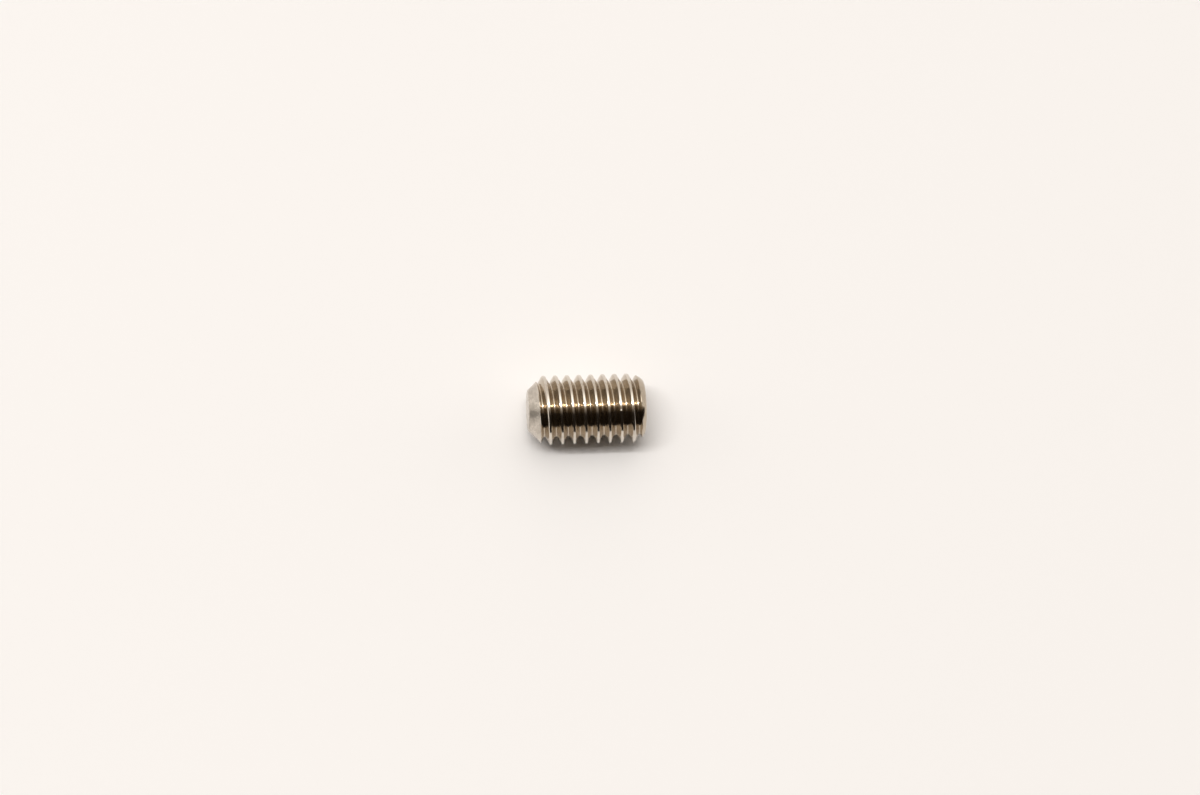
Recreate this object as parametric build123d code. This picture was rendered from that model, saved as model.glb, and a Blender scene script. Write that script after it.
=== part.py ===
from build123d import *
import os
from math import ceil, radians, tan

# Grub set screw: one headless steel rod with a right-hand metric thread from end to end,
# a flat point at -X and a hexagon socket in the end at +X.
# It lies on its thread crests: the axis runs along X, Z is up and the surface under it is Z = 0.
# The origin is on that surface, midway along the screw.
# The screw is modelled upright on its point, with its axis along Z, and then laid down.

# Overall
screw_length = 9.85

# Thread
thread_diameter = 5.82  # over the crests, inside the tolerance of a 6 mm coarse thread
thread_pitch = 1.0
flank_angle = 60.0  # between the two flanks of a groove, in degrees
crest_flat_share = 0.18  # of the pitch
root_flat_share = 0.1  # of the pitch
thread_turn = 140.0  # where the groove crosses the plane of the point, in degrees around the axis

# Flat point
point_diameter = 3.4
point_chamfer_angle = 45.0  # between the cone and the end face, in degrees
point_edge_radius = 0.3  # around the end face

# Socket end
socket_end_diameter = 4.5
socket_end_chamfer_angle = 45.0  # between the cone and the end face, in degrees
socket_edge_radius = 0.5  # around the end face

# Hexagon socket
socket_width = 3.0  # across the flats
socket_depth = 3.5  # of the full hexagon
socket_mouth_diameter = 3.5
socket_mouth_angle = 45.0  # between the mouth's cone and the end face, in degrees
socket_bottom_angle = 120.0  # of the drilled cone under the hexagon, in degrees

# How far a cut runs past the surface that it opens
cut_overrun = 0.05

# Radii of the thread's profile
thread_radius = thread_diameter / 2
flank_slope = tan(radians(flank_angle / 2))
thread_depth = thread_pitch * (1 - crest_flat_share - root_flat_share) / 2 / flank_slope
root_radius = thread_radius - thread_depth


def groove_section():
    """The groove between two crests, in a plane through the axis: two straight flanks and a flat root."""
    outer_radius = thread_radius + cut_overrun
    root_offset = thread_pitch * root_flat_share / 2
    outer_offset = root_offset + (outer_radius - root_radius) * flank_slope
    outline = Polyline(
        (root_radius, root_offset),
        (outer_radius, outer_offset),
        (outer_radius, -outer_offset),
        (root_radius, -root_offset),
        close=True,
    )
    return Plane.XZ * make_face(outline)


def thread_groove():
    """The groove along one turn of helix after another, from before the point to past the socket."""
    turn = Helix(thread_pitch, thread_pitch, thread_radius)
    turn_count = ceil(screw_length / thread_pitch) + 2
    path = Wire([Pos(0, 0, number * thread_pitch) * turn for number in range(turn_count)])
    groove = sweep(groove_section(), path, is_frenet=True)
    return Pos(0, 0, -thread_pitch) * Rot(0, 0, thread_turn) * groove


def chamfered_blank():
    """The rod before threading: a cylinder with a cone at each end and a rounded edge around each face."""
    point_radius = point_diameter / 2
    socket_end_radius = socket_end_diameter / 2
    point_chamfer = (thread_radius - point_radius) * tan(radians(point_chamfer_angle))
    socket_end_chamfer = (thread_radius - socket_end_radius) * tan(radians(socket_end_chamfer_angle))
    outline = Polyline(
        (0, 0),
        (point_radius, 0),
        (thread_radius, point_chamfer),
        (thread_radius, screw_length - socket_end_chamfer),
        (socket_end_radius, screw_length),
        (0, screw_length),
        close=True,
    )
    half_section = make_face(outline)
    for end, edge_radius in ((0, point_edge_radius), (-1, socket_edge_radius)):
        end_corner = half_section.vertices().group_by(Axis.Y)[end].sort_by(Axis.X)[-1]
        half_section = fillet(end_corner, edge_radius)
    return revolve(Plane.XZ * half_section, Axis.Z)


def hexagon_socket():
    """The space for the key: a chamfered mouth, a hexagon and a drilled cone at its bottom."""
    floor = screw_length - socket_depth
    hexagon = extrude(
        Pos(0, 0, floor) * RegularPolygon(socket_width / 2, 6, major_radius=False),
        socket_depth + cut_overrun,
    )
    drill_radius = socket_width / 2
    drill_depth = drill_radius / tan(radians(socket_bottom_angle / 2))
    drill_point = Polyline((0, floor), (drill_radius, floor), (0, floor - drill_depth), close=True)
    mouth_radius = socket_mouth_diameter / 2
    mouth_slope = tan(radians(socket_mouth_angle))
    mouth = Polyline(
        (0, screw_length + cut_overrun),
        (mouth_radius + cut_overrun / mouth_slope, screw_length + cut_overrun),
        (0, screw_length - mouth_radius * mouth_slope),
        close=True,
    )
    return hexagon + [revolve(Plane.XZ * make_face(outline), Axis.Z) for outline in (drill_point, mouth)]


def set_screw():
    """The whole screw, laid on its side."""
    upright = chamfered_blank() - thread_groove() - hexagon_socket()
    return Pos(-screw_length / 2, 0, thread_radius) * Rot(0, 90, 0) * upright


os.makedirs("parts", exist_ok=True)
export_step(set_screw(), "parts/set_screw.step")
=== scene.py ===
"""A headless set screw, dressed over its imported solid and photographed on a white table.

The screw lies along X with its flat point at -X and rests on Z = 0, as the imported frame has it.
Sizes of the screw are in millimetres and those of the studio in metres. Every mesh is made in metres.
"""

import logging
import math
from dataclasses import dataclass, field
from enum import Enum
from typing import Callable

import bmesh
import bpy
from mathutils import Matrix, Vector


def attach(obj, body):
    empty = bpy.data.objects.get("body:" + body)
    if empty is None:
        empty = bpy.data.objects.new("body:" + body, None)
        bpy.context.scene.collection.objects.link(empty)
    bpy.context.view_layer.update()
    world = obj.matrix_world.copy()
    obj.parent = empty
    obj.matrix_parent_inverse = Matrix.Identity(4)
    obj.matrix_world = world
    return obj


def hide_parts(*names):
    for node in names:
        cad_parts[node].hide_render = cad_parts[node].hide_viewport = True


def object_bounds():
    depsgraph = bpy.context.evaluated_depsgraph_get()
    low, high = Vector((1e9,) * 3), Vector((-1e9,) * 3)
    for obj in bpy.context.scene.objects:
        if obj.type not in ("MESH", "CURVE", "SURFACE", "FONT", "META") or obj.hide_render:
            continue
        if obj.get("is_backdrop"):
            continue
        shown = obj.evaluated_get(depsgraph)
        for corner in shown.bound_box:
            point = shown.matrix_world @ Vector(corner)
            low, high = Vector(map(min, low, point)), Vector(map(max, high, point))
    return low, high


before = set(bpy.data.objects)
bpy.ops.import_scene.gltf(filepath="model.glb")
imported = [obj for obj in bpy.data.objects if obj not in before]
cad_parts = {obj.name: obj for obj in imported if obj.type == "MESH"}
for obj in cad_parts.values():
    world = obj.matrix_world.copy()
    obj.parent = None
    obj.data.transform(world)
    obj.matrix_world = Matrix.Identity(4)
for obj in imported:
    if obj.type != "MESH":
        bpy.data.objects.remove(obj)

LOG = logging.getLogger("set_screw")
NODE_NAME = "set_screw"
MM = 0.001
TAU = math.tau
IMAGE_WIDTH = 1200  # in pixels
WELD_DISTANCE = 2e-6  # in metres
CONE_ANGLE = math.radians(45.0)  # between an end's cone and its face
SHARP_ANGLE = 28.0  # in degrees; a steeper edge is shaded as a crease
ARCH_PEAK = 4.0  # brings the peak of share * (1 - share) to 1
GATHERINGS = 2  # places in a pitch where the rows gather, which are the crest and the root
MASK_EDGE = 0.5  # parts off from on in a mask
HEXAGON_SIDES = 6
MIX_COLOURS = (6, 7)  # places of a Mix node's two colours among its inputs
MIX_RESULT = 2  # place of the mixed colour among its outputs
NUMBER = "NodeSocketFloat"
VECTOR = "NodeSocketVector"

Colour = tuple[float, float, float]
Value = float | bpy.types.NodeSocket
RingPlace = Callable[[float], tuple[float, float]]


class ToolMarks(Enum):
    """The way in which the tool marks of a steel surface run."""

    ALONG_THREAD = "rolled_thread"
    AROUND_AXIS = "turned_end"
    ALONG_AXIS = "broached_socket"


class End(Enum):
    """The two ends of the screw."""

    POINT = "Point"
    SOCKET = "Socket"


class FinishSlot(Enum):
    """The material slots of the screw's mesh."""

    THREAD = 0
    END = 1
    SOCKET = 2


class NodeMaker:
    """Adds nodes to one tree and links them as it goes."""

    def __init__(self, tree: bpy.types.NodeTree) -> None:
        """Keeps the tree that the nodes go to.

        Args:
            tree: A geometry, shader or group tree.
        """
        self.tree = tree

    def add(self, kind: str, **settings: object) -> bpy.types.Node:
        """Adds one node.

        Args:
            kind: The node's type name.
            **settings: Properties of the node, by name.

        Returns:
            The new node.
        """
        node = self.tree.nodes.new(kind)
        for name, value in settings.items():
            setattr(node, name, value)
        return node

    def feed(self, target: bpy.types.NodeSocket, value: object) -> None:
        """Links a socket to an input, or sets the input's own value.

        Args:
            target: The input to feed.
            value: A socket to link, or a plain value.
        """
        if isinstance(value, bpy.types.NodeSocket):
            self.tree.links.new(value, target)
        else:
            target.default_value = value

    def fed(self, kind: str, inputs: dict[str, object], **settings: object) -> bpy.types.Node:
        """Adds one node and feeds its inputs.

        Args:
            kind: The node's type name.
            inputs: Sockets to link or plain values, by the name of the input.
            **settings: Properties of the node, by name.

        Returns:
            The new node.
        """
        node = self.add(kind, **settings)
        for name, value in inputs.items():
            self.feed(node.inputs[name], value)
        return node

    def math(self, operation: str, *values: Value) -> bpy.types.NodeSocket:
        """Adds a Math node.

        Args:
            operation: The node's operation.
            *values: Its inputs in order.

        Returns:
            The result's socket.
        """
        node = self.add("ShaderNodeMath", operation=operation)
        for target, value in zip(node.inputs, values):
            self.feed(target, value)
        return node.outputs[0]

    def smooth_step(self, value: Value, low: Value, high: Value) -> bpy.types.NodeSocket:
        """Adds a soft step from 0 at low to 1 at high.

        Args:
            value: What is compared.
            low: Where the step starts.
            high: Where it ends.

        Returns:
            The step's socket.
        """
        node = self.add("ShaderNodeMapRange", interpolation_type="SMOOTHSTEP")
        for target, item in zip(node.inputs, (value, low, high, 0.0, 1.0)):
            self.feed(target, item)
        return node.outputs[0]

    def split(self, vector: bpy.types.NodeSocket) -> tuple[bpy.types.NodeSocket, ...]:
        """Adds a Separate XYZ node.

        Args:
            vector: What is taken apart.

        Returns:
            The sockets of its three parts.
        """
        node = self.add("ShaderNodeSeparateXYZ")
        self.feed(node.inputs[0], vector)
        return tuple(node.outputs)

    def join(self, x: Value, y: Value, z: Value) -> bpy.types.NodeSocket:
        """Adds a Combine XYZ node.

        Args:
            x: The vector's first part.
            y: Its second part.
            z: Its third part.

        Returns:
            The vector's socket.
        """
        node = self.add("ShaderNodeCombineXYZ")
        for target, value in zip(node.inputs, (x, y, z)):
            self.feed(target, value)
        return node.outputs[0]

    def mix_colour(self, factor: Value, first: object, second: object) -> bpy.types.NodeSocket:
        """Adds a colour Mix node.

        Args:
            factor: The share of the second colour.
            first: The colour at 0.
            second: The colour at 1.

        Returns:
            The mixed colour's socket.
        """
        node = self.add("ShaderNodeMix", data_type="RGBA")
        self.feed(node.inputs[0], factor)
        for number, value in zip(MIX_COLOURS, (first, second)):
            self.feed(node.inputs[number], (*value, 1.0) if isinstance(value, tuple) else value)
        return node.outputs[MIX_RESULT]

    def noise(self, vector: bpy.types.NodeSocket, scale: float, detail: float,
              roughness: float = 0.5) -> bpy.types.NodeSocket:
        """Adds a Noise Texture.

        Args:
            vector: Its coordinates.
            scale: Its scale.
            detail: Its number of octaves.
            roughness: The weight of each finer octave.

        Returns:
            The noise value's socket.
        """
        inputs = {"Vector": vector, "Scale": scale, "Detail": detail, "Roughness": roughness}
        return self.fed("ShaderNodeTexNoise", inputs, noise_dimensions="3D").outputs[0]


@dataclass
class RoundedEnd:
    """A slightly crowned 45 degree cone, a rounded edge and the flat face inside it."""

    face_radius: float  # where the cone without its rounded edge meets the face
    chamfer: float  # length of the cone along the axis
    edge_radius: float
    crown: float  # how far the middle of the cone bulges; below 0 it is hollow
    edge_steps: int = 7

    @property
    def edge_centre(self) -> float:
        """Radius at which the rounded edge is centred, which is the rim of the flat face."""
        return self.face_radius - self.edge_radius * math.tan(CONE_ANGLE / 2)

    @property
    def edge_depth(self) -> float:
        """Distance behind the face at which the rounded edge meets the cone."""
        return self.edge_radius * (1 - math.cos(CONE_ANGLE))

    def inputs(self, end: End) -> dict[str, float]:
        """The lengths that the thread's tree needs to cut its rows along this end.

        Args:
            end: Which end this is.

        Returns:
            Lengths in millimetres by the name of the tree's input.
        """
        lengths = {
            "Face Radius": self.face_radius,
            "Chamfer": self.chamfer,
            "Crown": self.crown,
            "Edge Radius": self.edge_radius,
            "Edge Centre": self.edge_centre,
            "Edge Depth": self.edge_depth,
        }
        return {f"{end.value} {name}": value for name, value in lengths.items()}

    def bulge(self, behind: float) -> float:
        """How far the crowned surface lies outside the straight one, at a distance behind the face."""
        share = min(behind / self.chamfer, 1.0)
        return ARCH_PEAK * self.crown * share * (1 - share)

    def profile(self, first: float) -> list[tuple[float, float]]:
        """Points from the ring where the thread's mesh ends to the rim of the face.

        Args:
            first: Distance from the face to that ring.

        Returns:
            Pairs of distance behind the face and radius.
        """
        if first > self.edge_depth:
            points, start = [(first, self.face_radius + first)], CONE_ANGLE
        else:
            points, start = [], math.acos(1 - first / self.edge_radius)
        for step in range(self.edge_steps + 1):
            angle = start * (1 - step / self.edge_steps)
            behind = self.edge_radius * (1 - math.cos(angle))
            points.append((behind, self.edge_centre + self.edge_radius * math.sin(angle)))
        return [(behind, radius + self.bulge(behind)) for behind, radius in points]


@dataclass
class PointEnd(RoundedEnd):
    """The flat point of the screw."""

    face_radius: float = 1.7
    chamfer: float = 1.21
    edge_radius: float = 0.3
    crown: float = -0.035
    face_rings: int = 8

    def rings(self, first: float) -> list[RingPlace]:
        """Ring after ring from the thread's mesh to the middle of the face.

        Args:
            first: Distance from the face to the first ring.

        Returns:
            For each ring, a function from the angle to the distance behind the face and the radius.
        """
        points = self.profile(first)
        rim = points[-1][1]
        points += [(0.0, rim * (1 - step / self.face_rings)) for step in range(1, self.face_rings)]
        return [lambda angle, point=point: point for point in points]


@dataclass
class SocketEnd(RoundedEnd):
    """The end with the hexagon socket."""

    face_radius: float = 2.25
    chamfer: float = 0.66
    edge_radius: float = 0.5
    crown: float = 0.01
    hexagon_width: float = 3.0
    hexagon_depth: float = 3.5
    mouth_radius: float = 1.75
    bottom_angle: float = 120.0  # of the drilled cone, in degrees
    face_rings: int = 3
    wall_rings: int = 12
    bottom_rings: int = 6

    @property
    def drill_depth(self) -> float:
        """Height of the drilled cone under the hexagon."""
        return self.hexagon_width / 2 / math.tan(math.radians(self.bottom_angle / 2))

    @property
    def bottom(self) -> float:
        """Distance from the face to the tip of the drilled cone."""
        return self.hexagon_depth + self.drill_depth

    def hexagon(self, angle: float) -> float:
        """Follows the hexagon's wall, which has two of its corners straight up and down.

        Args:
            angle: The angle around the axis.

        Returns:
            The radius of the wall.
        """
        sector = TAU / HEXAGON_SIDES
        off_flat = (angle - math.pi / 2) % sector - sector / 2
        return self.hexagon_width / 2 / math.cos(off_flat)

    def face(self, first: float) -> list[RingPlace]:
        """Rings from the thread's mesh over the face to the mouth.

        Args:
            first: Distance from the face to the first ring.

        Returns:
            For each ring, a function from the angle to the distance behind the face and the radius.
        """
        points = self.profile(first)
        rim = points[-1][1]
        for step in range(1, self.face_rings + 1):
            points.append((0.0, rim + (self.mouth_radius - rim) * step / self.face_rings))
        return [lambda angle, point=point: point for point in points]

    def hole(self) -> list[RingPlace]:
        """Rings from the mouth down the hexagon to the middle of its drilled bottom.

        Returns:
            For each ring, a function from the angle to the distance behind the face and the radius.
        """
        rings: list[RingPlace] = [lambda angle: (0.0, self.mouth_radius)]
        for step in range(self.wall_rings + 1):
            share = step / self.wall_rings
            rings.append(lambda angle, share=share: self.wall_place(angle, share))
        drill = self.hexagon_width / 2
        for step in range(self.bottom_rings):
            share = step / self.bottom_rings
            place = (self.hexagon_depth + self.drill_depth * share, drill * (1 - share))
            rings.append(lambda angle, place=place: place)
        return rings

    def wall_place(self, angle: float, share: float) -> tuple[float, float]:
        """A point on the hexagon's wall.

        Args:
            angle: The angle around the axis.
            share: How far down the wall, from 0 at the chamfered mouth to 1 at the bottom.

        Returns:
            The distance behind the face and the radius.
        """
        radius = self.hexagon(angle)
        mouth = self.mouth_radius - radius
        return mouth + (self.hexagon_depth - mouth) * share, radius


@dataclass
class ThreadRows:
    """How finely the thread is meshed."""

    rows_per_pitch: int = 24
    columns: int = 288
    crowding: float = 0.55  # how far the rows gather at the crest and the root, from 0 to 1
    spare_turns: int = 2  # of the grid, past the ends of the screw


@dataclass
class Nick:
    """A small burr that stands up from the thread where it was knocked."""

    along: float  # from the middle of the screw, towards the socket
    around: float  # in degrees from +Y towards +Z
    width: float
    height: float

    def lengths(self, number: int) -> dict[str, float]:
        """The nick's lengths in millimetres, by the name of the tree's input."""
        sizes = {"Along": self.along, "Width": self.width, "Height": self.height}
        return {f"Nick {number} {name}": value for name, value in sizes.items()}


@dataclass
class ThreadBody:
    """The threaded rod between its two ends, made by a Geometry Nodes tree as one helical grid."""

    length: float = 9.85
    pitch: float = 1.0
    crest_radius: float = 2.91
    crest_flat: float = 0.18
    flank_angle: float = 60.0  # between the two flanks of a groove, in degrees
    root_flat: float = 0.1
    crest_softness: float = 0.05
    root_softness: float = 0.07
    cut_softness: float = 0.03  # where an end cuts the thread
    turn: float = 50.0  # where the groove crosses the plane of the point, in degrees from +Y towards +Z
    lead_length: float = 1.05  # from the socket end to where its domed lead meets the crests
    lead_slope: float = 0.25  # of the dome at the crests
    lead_drop: float = 0.336  # further fall of the dome over 1 mm
    start: float = 0.3  # from the point to the first ring
    stop: float = 0.03  # from the last ring to the socket end
    nicks: tuple[Nick, ...] = (Nick(2.7, 103.0, 0.085, 0.028), Nick(3.36, 111.5, 0.09, 0.02))
    mesh: ThreadRows = field(default_factory=ThreadRows)

    @property
    def flank_slope(self) -> float:
        """Axial run of a flank for each unit of radius."""
        return math.tan(math.radians(self.flank_angle / 2))

    @property
    def root_radius(self) -> float:
        """Radius at the bottom of the groove."""
        return self.crest_radius - (self.pitch - self.crest_flat - self.root_flat) / 2 / self.flank_slope

    def inputs(self, point: PointEnd, socket: SocketEnd) -> dict[str, float]:
        """Names the tree's inputs and works out their values.

        Args:
            point: The flat point, which cuts the thread at -X.
            socket: The socket end, which cuts the thread at +X.

        Returns:
            Lengths in metres, angles in radians and plain numbers by the name of the tree's input.
        """
        half = self.length / 2
        first_crest = -half + self.pitch * (0.5 - self.turn / 360)
        lengths = {
            "Pitch": self.pitch,
            "Crest Radius": self.crest_radius,
            "Crest Half Flat": self.crest_flat / 2,
            "Root Radius": self.root_radius,
            "Crest Softness": self.crest_softness,
            "Root Softness": self.root_softness,
            "Cut Softness": self.cut_softness,
            "Lead Length": self.lead_length,
            "Half Length": half,
            "First Ring": self.start - half,
            "Last Ring": half - self.stop,
            "Crest Offset": first_crest - self.pitch * round(first_crest / self.pitch),
        } | point.inputs(End.POINT) | socket.inputs(End.SOCKET)
        for number, nick in enumerate(self.nicks):
            lengths |= nick.lengths(number)
        turns = math.ceil(self.length / self.pitch) + self.mesh.spare_turns
        numbers = {
            "Flank Slope": self.flank_slope,
            "Lead Slope": self.lead_slope,
            "Lead Curve": self.lead_drop / MM,
            "Turns": float(turns),
            "Rows": turns * self.mesh.rows_per_pitch + 1,
            "Columns": self.mesh.columns + 1,
            "Crowding": self.mesh.crowding,
        }
        for number, nick in enumerate(self.nicks):
            numbers[f"Nick {number} Around"] = math.radians(nick.around)
        return {name: value * MM for name, value in lengths.items()} | numbers

    def tree(self, names: dict[str, float],
             materials: dict[str, bpy.types.Material]) -> bpy.types.NodeTree:
        """Builds the Geometry Nodes tree.

        Args:
            names: The number inputs that the tree gets, with their values.
            materials: The material inputs that it gets.

        Returns:
            The tree, which makes the rod's threaded surface without its ends.
        """
        tree = bpy.data.node_groups.new("threaded_rod", "GeometryNodeTree")
        for name, value in names.items():
            kind = "NodeSocketInt" if isinstance(value, int) else NUMBER
            tree.interface.new_socket(name, in_out="INPUT", socket_type=kind)
        for name in materials:
            tree.interface.new_socket(name, in_out="INPUT", socket_type="NodeSocketMaterial")
        tree.interface.new_socket("Geometry", in_out="OUTPUT", socket_type="NodeSocketGeometry")
        make = NodeMaker(tree)
        given = make.add("NodeGroupInput").outputs

        grid = make.fed("GeometryNodeMeshGrid", {
            "Size X": given["Turns"],
            "Size Y": TAU,
            "Vertices X": given["Rows"],
            "Vertices Y": given["Columns"],
        })
        along, angle, _ = make.split(make.add("GeometryNodeInputPosition").outputs[0])

        wave = make.math("SINE", make.math("MULTIPLY", along, GATHERINGS * TAU))
        gathered = make.math("MULTIPLY", make.math("DIVIDE", wave, GATHERINGS * TAU), given["Crowding"])
        row = make.math("SUBTRACT", along, gathered)
        turn = make.math("DIVIDE", angle, TAU)
        climb = make.math("MULTIPLY_ADD", turn, given["Pitch"], given["Crest Offset"])
        free_axial = make.math("MULTIPLY_ADD", row, given["Pitch"], climb)
        inside = make.math("MAXIMUM", free_axial, given["First Ring"])
        axial = make.math("MINIMUM", inside, given["Last Ring"])

        phase = make.math("DIVIDE", make.math("SUBTRACT", axial, climb), given["Pitch"])
        off_crest = make.math("ABSOLUTE", make.math("SUBTRACT", phase, make.math("ROUND", phase)))
        past_crest = make.math("MULTIPLY", off_crest, given["Pitch"])
        down_flank = make.math("SUBTRACT", given["Crest Half Flat"], past_crest)
        rise = make.math("DIVIDE", down_flank, given["Flank Slope"])
        flank = make.math("ADD", given["Crest Radius"], rise)
        crest = make.math("SMOOTH_MIN", flank, given["Crest Radius"], given["Crest Softness"])
        groove = make.math("SMOOTH_MAX", crest, given["Root Radius"], given["Root Softness"])

        from_point = make.math("ADD", axial, given["Half Length"])
        to_socket = make.math("SUBTRACT", given["Half Length"], axial)
        short = make.math("MAXIMUM", make.math("SUBTRACT", given["Lead Length"], to_socket), 0.0)
        fall = make.math("MULTIPLY_ADD", short, given["Lead Curve"], given["Lead Slope"])
        lead = make.math("SUBTRACT", given["Crest Radius"], make.math("MULTIPLY", short, fall))
        thread = make.math("SMOOTH_MIN", groove, lead, given["Cut Softness"])
        point_cut = self.end_surface(make, given, End.POINT, from_point)
        socket_cut = self.end_surface(make, given, End.SOCKET, to_socket)
        turned = make.math("LESS_THAN", point_cut, thread)
        radius = make.math("SMOOTH_MIN", thread, point_cut, given["Cut Softness"])
        radius = make.math("SMOOTH_MIN", radius, socket_cut, given["Cut Softness"])
        for number in range(len(self.nicks)):
            burr = self.nick_height(make, given, number, axial, angle)
            radius = make.math("ADD", radius, burr)

        across = make.math("MULTIPLY", radius, make.math("COSINE", angle))
        above = make.math("MULTIPLY_ADD", radius, make.math("SINE", angle), given["Crest Radius"])
        kept = make.add("GeometryNodeCaptureAttribute", domain="POINT")
        kept.capture_items.new("FLOAT", "Turned")
        make.feed(kept.inputs["Geometry"], grid.outputs["Mesh"])
        make.feed(kept.inputs["Turned"], turned)
        on_cone = make.math("GREATER_THAN", kept.outputs["Turned"], MASK_EDGE)
        steps = (
            ("GeometryNodeSetPosition", {"Position": make.join(axial, across, above)}),
            ("GeometryNodeMergeByDistance", {"Distance": WELD_DISTANCE}),
            ("GeometryNodeRealizeInstances", {}),
            ("GeometryNodeSetMaterial", {"Material": given["Thread Material"]}),
            ("GeometryNodeSetMaterial", {"Selection": on_cone, "Material": given["End Material"]}),
        )
        geometry = kept.outputs["Geometry"]
        for kind, inputs in steps:
            geometry = make.fed(kind, {"Geometry": geometry} | inputs).outputs[0]
        make.feed(make.add("NodeGroupOutput").inputs[0], geometry)
        return tree

    @staticmethod
    def end_surface(make: NodeMaker, given: bpy.types.NodeOutputs, end: End,
                    behind: bpy.types.NodeSocket) -> bpy.types.NodeSocket:
        """Adds the nodes for one end's crowned cone and rounded edge.

        Args:
            make: The maker of the tree's nodes.
            given: The tree's inputs.
            end: Which end this is.
            behind: The distance behind that end's face.

        Returns:
            The radius that the end leaves of the rod.
        """
        size = {name: given[f"{end.value} {name}"] for name in
                ("Face Radius", "Chamfer", "Crown", "Edge Radius", "Edge Centre", "Edge Depth")}
        straight = make.math("ADD", behind, size["Face Radius"])
        inward = make.math("MAXIMUM", make.math("SUBTRACT", size["Edge Radius"], behind), 0.0)
        whole = make.math("POWER", size["Edge Radius"], 2.0)
        square = make.math("SUBTRACT", whole, make.math("POWER", inward, 2.0))
        edge = make.math("ADD", size["Edge Centre"], make.math("SQRT", square))
        on_edge = make.math("LESS_THAN", behind, size["Edge Depth"])
        plain = make.math("MULTIPLY_ADD", on_edge, make.math("SUBTRACT", edge, straight), straight)
        share = make.math("MINIMUM", make.math("DIVIDE", behind, size["Chamfer"]), 1.0)
        rest = make.math("SUBTRACT", 1.0, share)
        arch = make.math("MULTIPLY", make.math("MULTIPLY", share, ARCH_PEAK), rest)
        return make.math("MULTIPLY_ADD", arch, size["Crown"], plain)

    @staticmethod
    def nick_height(make: NodeMaker, given: bpy.types.NodeOutputs, number: int,
                    axial: bpy.types.NodeSocket, angle: bpy.types.NodeSocket) -> bpy.types.NodeSocket:
        """Adds the nodes for one nick, a round burr with a soft foot.

        Args:
            make: The maker of the tree's nodes.
            given: The tree's inputs.
            number: The nick's place in the list.
            axial: The place along the axis.
            angle: The angle around it.

        Returns:
            How far the burr stands up.
        """
        size = {name: given[f"Nick {number} {name}"] for name in ("Along", "Around", "Width", "Height")}
        turn = make.math("SUBTRACT", angle, size["Around"])
        over = make.math("DIVIDE", make.math("SUBTRACT", axial, size["Along"]), size["Width"])
        beside = make.math("DIVIDE", make.math("MULTIPLY", turn, given["Crest Radius"]), size["Width"])
        away = make.math("MULTIPLY_ADD", over, over, make.math("MULTIPLY", beside, beside))
        swell = make.math("EXPONENT", make.math("MULTIPLY", away, -1.0))
        return make.math("MULTIPLY", swell, size["Height"])

    def build(self, thread: bpy.types.Material, end: bpy.types.Material,
              point: PointEnd, socket: SocketEnd) -> bpy.types.Mesh:
        """Evaluates the tree.

        Args:
            thread: The finish of the threaded surface.
            end: The finish of the point's cone.
            point: The flat point.
            socket: The socket end.

        Returns:
            A plain mesh of the threaded surface, open at both end rings.
        """
        names = self.inputs(point, socket)
        materials = {"Thread Material": thread, "End Material": end}
        tree = self.tree(names, materials)
        values = names | materials
        holder = bpy.data.objects.new("thread_holder", bpy.data.meshes.new("thread_holder"))
        bpy.context.scene.collection.objects.link(holder)
        modifier = holder.modifiers.new("threaded_rod", "NODES")
        modifier.node_group = tree
        for item in tree.interface.items_tree:
            if item.in_out == "INPUT":
                modifier[item.identifier] = values[item.name]
        graph = bpy.context.evaluated_depsgraph_get()
        mesh = bpy.data.meshes.new_from_object(holder.evaluated_get(graph))
        bpy.data.objects.remove(holder)
        return mesh


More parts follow.
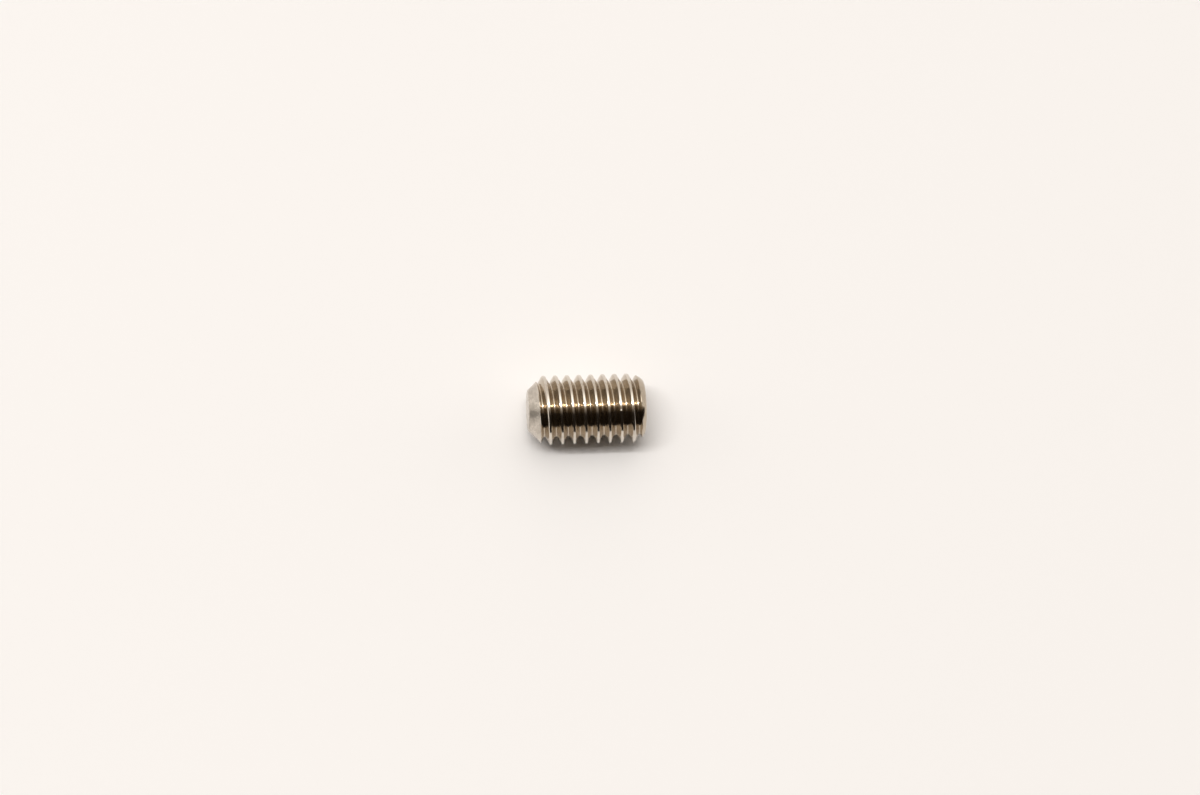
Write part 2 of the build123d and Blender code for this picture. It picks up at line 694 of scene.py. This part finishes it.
@dataclass(frozen=True)
class SteelFinish:
    """Bright stainless steel with the marks of the tool that made the surface, and painted shade deep in a
    thread's grooves.
    """

    marks: ToolMarks
    bright: Colour = (0.73, 0.675, 0.6)
    dull: Colour = (0.61, 0.555, 0.485)
    # The groove colours are painted shade: darker steel deep in the thread's grooves; the stained one adds
    # a random film to it
    groove: Colour = (0.53, 0.455, 0.36)
    stained_shaded_groove: Colour = (0.44, 0.37, 0.29)
    pit: Colour = (0.22, 0.185, 0.15)
    shade_fades_from: float = 0.0  # radius at which the painted shade of the grooves starts to give way, in mm
    shade_gone_at: float = 0.0  # radius from which the crests carry no painted shade; 0 where the surface has no grooves
    roughness: float = 0.11
    roughness_spread: float = 0.08
    film_share: float = 0.55  # of the uneven tone; the rest is the tool lines'
    mark_width: float = 0.05
    mark_length: float = 2.5
    mark_depth: float = 0.07  # share of the bump's height that the marks show
    bump_height: float = 0.02
    pit_share: float = 0.6
    pit_roughness: float = 0.25  # added in the middle of a pit

    def material(self, groups: "SteelGroups") -> bpy.types.Material:
        """Makes the material.

        Args:
            groups: The node groups that all steel surfaces share.

        Returns:
            A material that reads Object coordinates.
        """
        material = bpy.data.materials.new(self.marks.value)
        material.use_nodes = True
        tree = material.node_tree
        tree.nodes.clear()
        make = NodeMaker(tree)
        shader = make.add("ShaderNodeBsdfPrincipled")
        make.fed("ShaderNodeOutputMaterial", {"Surface": shader.outputs[0]})

        place = {"Point": make.add("ShaderNodeTexCoord").outputs["Object"]}
        polar, film, pits = (
            make.fed("ShaderNodeGroup", place, node_tree=group).outputs
            for group in (groups.polar, groups.film, groups.pits)
        )
        across, along = (polar[name] for name in groups.directions[self.marks])
        lines = make.fed("ShaderNodeGroup", {
            "Across": across,
            "Along": along,
            "Width": self.mark_width,
            "Length": self.mark_length,
        }, node_tree=groups.lines).outputs

        haze = make.math("MULTIPLY", film["Film"], self.film_share)
        shade = make.math("MULTIPLY_ADD", lines["Tone"], 1 - self.film_share, haze)
        tone = make.mix_colour(shade, self.bright, self.dull)
        # Painted shade: the colour darkens towards the bottom of each groove, by radius
        if self.shade_gone_at > 0:
            unshaded_share = make.smooth_step(polar["Radius"], self.shade_fades_from, self.shade_gone_at)
            shaded_valley = make.mix_colour(film["Film"], self.groove, self.stained_shaded_groove)
            tone = make.mix_colour(unshaded_share, shaded_valley, tone)
        pitted = make.math("MULTIPLY", pits["Pit"], self.pit_share)
        make.feed(shader.inputs["Base Color"], make.mix_colour(pitted, tone, self.pit))
        make.feed(shader.inputs["Metallic"], 1.0)
        plain = make.math("MULTIPLY_ADD", shade, self.roughness_spread, self.roughness)
        rough = make.math("MULTIPLY_ADD", pitted, self.pit_roughness, plain)
        make.feed(shader.inputs["Roughness"], rough)
        bump = make.fed("ShaderNodeBump", {
            "Strength": self.mark_depth,
            "Distance": self.bump_height * MM,
            "Height": make.math("SUBTRACT", lines["Height"], pitted),
        })
        make.feed(shader.inputs["Normal"], bump.outputs[0])
        return material


class SteelGroups:
    """The node groups that the steel finishes share."""

    directions = {
        ToolMarks.ALONG_THREAD: ("Helix", "Arc"),
        ToolMarks.AROUND_AXIS: ("Radius", "Arc"),
        ToolMarks.ALONG_AXIS: ("Arc", "Axial"),
    }

    def __init__(self, body: ThreadBody) -> None:
        """Builds the groups.

        Args:
            body: The thread whose pitch and axis the groups follow.
        """
        self.polar = self.polar_group(body)
        self.lines = self.line_group()
        self.film = self.film_group()
        self.pits = self.pit_group()

    @staticmethod
    def group(name: str, inputs: dict[str, str], outputs: tuple[str, ...]) -> NodeMaker:
        """Starts a shader node group.

        Args:
            name: The group's name.
            inputs: Socket types by input name.
            outputs: Names of the outputs, which are plain numbers.

        Returns:
            A maker of nodes in the group's tree.
        """
        tree = bpy.data.node_groups.new(name, "ShaderNodeTree")
        for label, kind in inputs.items():
            tree.interface.new_socket(label, in_out="INPUT", socket_type=kind)
        for label in outputs:
            tree.interface.new_socket(label, in_out="OUTPUT", socket_type=NUMBER)
        return NodeMaker(tree)

    def polar_group(self, body: ThreadBody) -> bpy.types.NodeTree:
        """Turns a point into millimetres along, around and away from the screw's axis.

        Args:
            body: The thread whose pitch and axis are followed.

        Returns:
            The group, with the outputs Axial, Radius, Arc and Helix.
        """
        make = self.group("around_the_axis", {"Point": VECTOR}, ("Axial", "Radius", "Arc", "Helix"))
        x, y, z = make.split(make.add("NodeGroupInput").outputs["Point"])
        axial = make.math("DIVIDE", x, MM)
        side = make.math("DIVIDE", y, MM)
        up = make.math("SUBTRACT", make.math("DIVIDE", z, MM), body.crest_radius)
        square = make.math("MULTIPLY_ADD", side, side, make.math("MULTIPLY", up, up))
        radius = make.math("SQRT", square)
        angle = make.math("ARCTAN2", side, up)
        arc = make.math("MULTIPLY", angle, body.crest_radius)
        helix = make.math("MULTIPLY_ADD", angle, body.pitch / TAU, axial)
        make.fed("NodeGroupOutput", {"Axial": axial, "Radius": radius, "Arc": arc, "Helix": helix})
        return make.tree

    def line_group(self, thinning: float = 0.23, stretch: float = 0.6, apart: float = 7.0,
                   wide_height: float = 0.6, pale: float = 0.35, dark: float = 0.7) -> bpy.types.NodeTree:
        """Fine parallel lines that come and go along their length, and wider ones among them.

        Args:
            thinning: Number of wide lines to each fine one.
            stretch: The fine lines' length as a share of the wide ones'.
            apart: Place of the wide lines in the noise, away from the fine ones.
            wide_height: Height of the wide lines where the fine ones have 1.
            pale: Noise value up to which the wide lines leave no tone.
            dark: Noise value from which they leave their full tone.

        Returns:
            The group, with the outputs Height and Tone.
        """
        inputs = dict.fromkeys(("Across", "Along", "Width", "Length"), NUMBER)
        make = self.group("tool_lines", inputs, ("Height", "Tone"))
        given = make.add("NodeGroupInput").outputs
        across = make.math("DIVIDE", given["Across"], given["Width"])
        along = make.math("DIVIDE", given["Along"], given["Length"])
        fine = make.noise(make.join(across, along, 0.0), scale=1.0, detail=3.0, roughness=0.6)
        wide_across = make.math("MULTIPLY", across, thinning)
        wide_along = make.math("MULTIPLY", along, stretch)
        wide = make.noise(make.join(wide_across, wide_along, apart), scale=1.0, detail=2.0)
        make.fed("NodeGroupOutput", {
            "Height": make.math("MULTIPLY_ADD", wide, wide_height, fine),
            "Tone": make.smooth_step(wide, pale, dark),
        })
        return make.tree

    def film_group(self, speck_share: float = 0.35, clear: float = 0.38,
                   thick: float = 0.66) -> bpy.types.NodeTree:
        """A thin uneven film of oil and handling on the metal.

        Args:
            speck_share: Share of the small specks; the rest is the clouds'.
            clear: Noise value up to which there is no film.
            thick: Noise value from which the film is full.

        Returns:
            The group, with the output Film.
        """
        make = self.group("handling_film", {"Point": VECTOR}, ("Film",))
        point = make.add("NodeGroupInput").outputs["Point"]
        cloud = make.noise(point, scale=900.0, detail=4.0, roughness=0.55)
        speck = make.noise(point, scale=5200.0, detail=2.0)
        clouds = make.math("MULTIPLY", cloud, 1 - speck_share)
        both = make.math("MULTIPLY_ADD", speck, speck_share, clouds)
        make.fed("NodeGroupOutput", {"Film": make.smooth_step(both, clear, thick)})
        return make.tree

    def pit_group(self, spacing: float = 0.3, largest: float = 0.16, rarity: float = 3.0,
                  flat_share: float = 0.4) -> bpy.types.NodeTree:
        """Small dark pits, at most one to a cell and of very different sizes.

        Args:
            spacing: The size of a cell in millimetres.
            largest: Radius of the largest pit, as a share of the cell.
            rarity: The higher it is, the fewer pits are near the largest size.
            flat_share: Radius of a pit's flat middle, as a share of the pit.

        Returns:
            The group, with the output Pit.
        """
        make = self.group("small_pits", {"Point": VECTOR}, ("Pit",))
        cells = make.fed("ShaderNodeTexVoronoi", {
            "Vector": make.add("NodeGroupInput").outputs["Point"],
            "Scale": 1 / (spacing * MM),
        }, voronoi_dimensions="3D", feature="F1").outputs
        chance = make.split(cells["Color"])[0]
        size = make.math("MULTIPLY", make.math("POWER", chance, rarity), largest)
        flat = make.math("MULTIPLY", size, flat_share)
        make.fed("NodeGroupOutput", {"Pit": make.smooth_step(cells["Distance"], size, flat)})
        return make.tree


@dataclass
class SetScrew:
    """The whole screw: threaded body, flat point and socket end in one closed mesh."""

    body: ThreadBody = field(default_factory=ThreadBody)
    point: PointEnd = field(default_factory=PointEnd)
    socket: SocketEnd = field(default_factory=SocketEnd)
    shade_fades_below: float = 0.12  # below the crests, where the painted shade of the grooves starts to fade
    shade_gone_below: float = 0.02  # below the crests, from where there is no painted shade

    def dress(self) -> list[bpy.types.Material]:
        """Makes the finishes.

        Returns:
            The materials in the order of FinishSlot.
        """
        groups = SteelGroups(self.body)
        finishes = [
            SteelFinish(
                ToolMarks.ALONG_THREAD,
                shade_fades_from=self.body.crest_radius - self.shade_fades_below,
                shade_gone_at=self.body.crest_radius - self.shade_gone_below,
            ),
            SteelFinish(
                ToolMarks.AROUND_AXIS,
                bright=(0.69, 0.63, 0.555),
                dull=(0.45, 0.405, 0.35),
                roughness=0.25,
                film_share=0.75,
                mark_width=0.035,
                mark_depth=0.2,
            ),
            SteelFinish(
                ToolMarks.ALONG_AXIS,
                roughness=0.25,
                mark_width=0.04,
                mark_length=1.5,
                mark_depth=0.12,
            ),
        ]
        return [finish.material(groups) for finish in finishes]

    def build(self) -> bpy.types.Object:
        """Builds and dresses the screw.

        Returns:
            The finished object, at the origin, riding on nothing yet.
        """
        materials = self.dress()
        thread, end = (materials[slot.value] for slot in (FinishSlot.THREAD, FinishSlot.END))
        mesh = self.body.build(thread, end, self.point, self.socket)
        work = bmesh.new()
        work.from_mesh(mesh)
        # The baked mesh lists an empty slot before its materials
        baked_slots = [materials.index(material) if material else 0 for material in mesh.materials]
        for face in work.faces:
            face.material_index = baked_slots[face.material_index]
        self.lathe(work, self.point.rings(self.body.start), End.POINT, FinishSlot.END, tip=0.0)
        self.lathe(work, self.socket.face(self.body.stop), End.SOCKET, FinishSlot.END)
        self.lathe(work, self.socket.hole(), End.SOCKET, FinishSlot.SOCKET, tip=self.socket.bottom)
        bmesh.ops.remove_doubles(work, verts=work.verts, dist=WELD_DISTANCE)
        bmesh.ops.recalc_face_normals(work, faces=work.faces)
        for face in work.faces:
            face.smooth = True
        open_edges = sum(1 for edge in work.edges if len(edge.link_faces) != 2)
        LOG.info("set_screw mesh: %d faces, %d open edges", len(work.faces), open_edges)
        # The slots come before the faces, since clearing them resets the faces' finishes
        mesh.materials.clear()
        for material in materials:
            mesh.materials.append(material)
        work.to_mesh(mesh)
        work.free()
        mesh.set_sharp_from_angle(angle=math.radians(SHARP_ANGLE))
        screw = bpy.data.objects.new("threaded_set_screw", mesh)
        bpy.context.scene.collection.objects.link(screw)
        return screw

    def lathe(self, work: bmesh.types.BMesh, rings: list[RingPlace], end: End, slot: FinishSlot,
              tip: float | None = None) -> None:
        """Adds rings around the axis and the faces between them.

        Args:
            work: The mesh that grows.
            rings: For each ring, a function from the angle to the distance behind the face and the radius.
            end: The end whose face the distances are from.
            slot: The finish of the new faces.
            tip: Distance behind the face of the vertex that closes the last ring, if it is closed.
        """
        height = self.body.crest_radius
        columns = self.body.mesh.columns
        angles = [TAU * column / columns - math.pi for column in range(columns)]
        loops = []
        for ring in rings:
            loop = []
            for angle in angles:
                behind, radius = ring(angle)
                across, above = radius * math.cos(angle), radius * math.sin(angle) + height
                place = Vector((self.axial(end, behind), across, above))
                loop.append(work.verts.new(place * MM))
            loops.append(loop)
        made = []
        for outer, inner in zip(loops, loops[1:]):
            for column in range(columns):
                after = (column + 1) % columns
                corners = (outer[column], outer[after], inner[after], inner[column])
                made.append(work.faces.new(corners))
        if tip is not None:
            pole = work.verts.new(Vector((self.axial(end, tip), 0.0, height)) * MM)
            last = loops[-1]
            for column in range(columns):
                made.append(work.faces.new((last[column], last[(column + 1) % columns], pole)))
        for face in made:
            face.material_index = slot.value

    def axial(self, end: End, behind: float) -> float:
        """Turns a distance behind an end's face into a place along the axis."""
        half = self.body.length / 2
        return behind - half if end is End.POINT else half - behind


@dataclass
class Studio:
    """A white table in a white light tent, which is open and dark on the camera's side."""

    table_side: float = 3.0
    table_colour: Colour = (0.955, 0.94, 0.935)
    table_roughness: float = 0.75
    table_shine: float = 0.2
    lamp_distance: float = 1.5
    lamp_elevation: float = 99.5  # in degrees from the camera's side, as all heights of the tent are
    lamp_left: float = 0.45
    lamp_length: float = 1.2
    lamp_width: float = 0.06
    lamp_power: float = 12.3
    lamp_colour: Colour = (1.0, 0.985, 0.965)
    high_colour: Colour = (2.2, 2.13, 2.03)  # of the tent's panel above the screw
    high_ends: float = 98.0
    low_colour: Colour = (0.84, 0.765, 0.69)  # of the panel behind the screw
    low_starts: float = 152.0
    panel_edge: float = 0.25  # how far to the side the panel reaches, as a part of the direction
    side_colour: Colour = (0.34, 0.315, 0.285)
    side_edge: float = 0.55  # where the sides have their full colour
    end_colour: Colour = (1.0, 0.955, 0.9)  # along the screw's axis
    end_edge: float = 0.9  # where the ends have their full colour
    front_colour: Colour = (0.016, 0.012, 0.009)
    glow_colour: Colour = (0.34, 0.285, 0.23)  # at the top of the dark front
    glow_starts: float = 62.0
    front_top: float = 92.0
    front_edge: float = 3.0  # half the width of the edge between the front and the tent

    def build(self) -> None:
        """Makes the table, the lamp and the room."""
        self.table()
        self.lamp()
        self.room()

    def table(self) -> None:
        """A large flat white table at Z = 0, marked as backdrop."""
        half = self.table_side / 2
        mesh = bpy.data.meshes.new("white_table")
        corners = [(-half, -half, 0.0), (half, -half, 0.0), (half, half, 0.0), (-half, half, 0.0)]
        mesh.from_pydata(corners, [], [(0, 1, 2, 3)])
        material = bpy.data.materials.new("white_table")
        material.use_nodes = True
        shader = material.node_tree.nodes["Principled BSDF"]
        shader.inputs["Base Color"].default_value = (*self.table_colour, 1.0)
        shader.inputs["Roughness"].default_value = self.table_roughness
        shader.inputs["Specular IOR Level"].default_value = self.table_shine
        mesh.materials.append(material)
        table = bpy.data.objects.new("white_table", mesh)
        bpy.context.scene.collection.objects.link(table)
        table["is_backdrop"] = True

    def lamp(self) -> None:
        """One long narrow lamp above the screw, a little behind it and to the left."""
        data = bpy.data.lights.new("strip_lamp", "AREA")
        data.shape = "RECTANGLE"
        data.size = self.lamp_length
        data.size_y = self.lamp_width
        data.energy = self.lamp_power
        data.color = self.lamp_colour
        lamp = bpy.data.objects.new("strip_lamp", data)
        rise = math.radians(self.lamp_elevation)
        away = Vector((0.0, -math.cos(rise), math.sin(rise)))
        lamp.location = away * self.lamp_distance - Vector((self.lamp_left, 0.0, 0.0))
        lamp.rotation_mode = "QUATERNION"
        lamp.rotation_quaternion = away.to_track_quat("Z", "Y")
        lamp.visible_camera = False
        bpy.context.scene.collection.objects.link(lamp)

    def room(self) -> None:
        """The light from all round: a white tent, lit at both ends of the screw and dark in front."""
        world = bpy.data.worlds.new("light_tent")
        world.use_nodes = True
        tree = world.node_tree
        tree.nodes.clear()
        make = NodeMaker(tree)
        x, y, z = make.split(make.add("ShaderNodeTexCoord").outputs["Generated"])
        rise = make.math("DEGREES", make.math("ARCTAN2", z, make.math("MULTIPLY", y, -1.0)))
        lit = make.smooth_step(rise, self.front_top - self.front_edge, self.front_top + self.front_edge)
        low = make.smooth_step(rise, self.high_ends, self.low_starts)
        panel = make.mix_colour(low, self.high_colour, self.low_colour)
        sideways = make.math("ABSOLUTE", x)
        side = make.smooth_step(sideways, self.panel_edge, self.side_edge)
        ends = make.smooth_step(sideways, self.side_edge, self.end_edge)
        walls = make.mix_colour(side, panel, self.side_colour)
        tent = make.mix_colour(ends, walls, self.end_colour)
        glow = make.smooth_step(rise, self.glow_starts, self.front_top)
        front = make.mix_colour(glow, self.front_colour, self.glow_colour)
        colour = make.mix_colour(lit, front, tent)
        background = make.fed("ShaderNodeBackground", {"Color": colour, "Strength": 1.0})
        make.fed("ShaderNodeOutputWorld", {"Surface": background.outputs[0]})
        bpy.context.scene.world = world


@dataclass
class PhotoCamera:
    """The camera, high in front of the screw and a little to the left of it."""

    elevation: float = 80.0  # in degrees
    bearing: float = 32.7  # to the left of straight in front, in degrees
    roll: float = 30.7  # in degrees
    pixels_per_mm: float = 11.885
    lens: float = 85.0
    sensor: float = 36.0
    aim_right: float = 14.15  # pixels from the screw's middle to the image's middle
    aim_up: float = 11.6
    near: float = 0.001  # in metres
    far: float = 10.0  # in metres

    def build(self, middle: Vector) -> None:
        """Makes the camera and gives it to the scene.

        Args:
            middle: The middle of the screw.
        """
        data = bpy.data.cameras.new("photo_camera")
        data.lens = self.lens
        data.sensor_width = self.sensor
        data.sensor_fit = "HORIZONTAL"
        data.clip_start = self.near
        data.clip_end = self.far
        width = IMAGE_WIDTH / self.pixels_per_mm * MM
        distance = width * self.lens / self.sensor
        rise, turn = math.radians(self.elevation), math.radians(self.bearing)
        level = math.cos(rise)
        back = Vector((-math.sin(turn) * level, -math.cos(turn) * level, math.sin(rise)))
        upright = back.to_track_quat("Z", "Y").to_matrix()
        turned = upright @ Matrix.Rotation(math.radians(self.roll), 3, "Z")
        right, up = turned.col[0], turned.col[1]
        aim = middle + (right * self.aim_right + up * self.aim_up) * (MM / self.pixels_per_mm)
        camera = bpy.data.objects.new("photo_camera", data)
        camera.matrix_world = Matrix.Translation(aim + back * distance) @ turned.to_4x4()
        bpy.context.scene.collection.objects.link(camera)
        bpy.context.scene.camera = camera


def main() -> None:
    """Builds the screw, the studio and the camera."""
    logging.basicConfig(level=logging.INFO, format="%(message)s")
    cad_low, cad_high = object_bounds()
    piece = SetScrew().build()
    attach(piece, "root")
    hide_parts(NODE_NAME)
    Studio().build()
    LOG.info("white table, strip lamp and room")
    PhotoCamera().build((cad_low + cad_high) / 2)
    LOG.info("camera")
    bpy.context.scene.view_settings.view_transform = "Standard"


if __name__ == "__main__":
    main()
